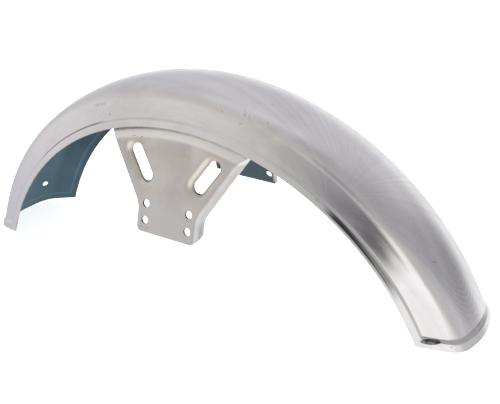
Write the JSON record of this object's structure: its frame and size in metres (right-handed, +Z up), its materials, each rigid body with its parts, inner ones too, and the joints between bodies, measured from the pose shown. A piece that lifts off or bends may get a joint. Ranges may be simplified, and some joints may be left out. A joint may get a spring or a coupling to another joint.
{
  "type": "motorcycle front mudguard",
  "caption": "Curved chromed mudguard blade with a raised band round its edge and a slotted, folded bracket under each side to bolt it to the front fork.",
  "frame": {"origin": "middle of the whole mudguard's box, on its plane of symmetry; the wheel's axle line lies 4.8 mm ahead of it and 212.2 mm below it", "axes": "+X towards the front of the wheel, +Y across the wheel to the rider's left, +Z up"},
  "size_m": [0.6268, 0.169, 0.2356],
  "materials": {
    "chrome": "polished chrome outside, dull blue grey paint inside",
    "bracket_steel": "dull satin plate"
  },
  "bodies": {
    "root": {"mudguard_blade": "chrome", "right_fork_bracket": "bracket_steel", "left_fork_bracket": "bracket_steel"}
  },
  "joints": []
}
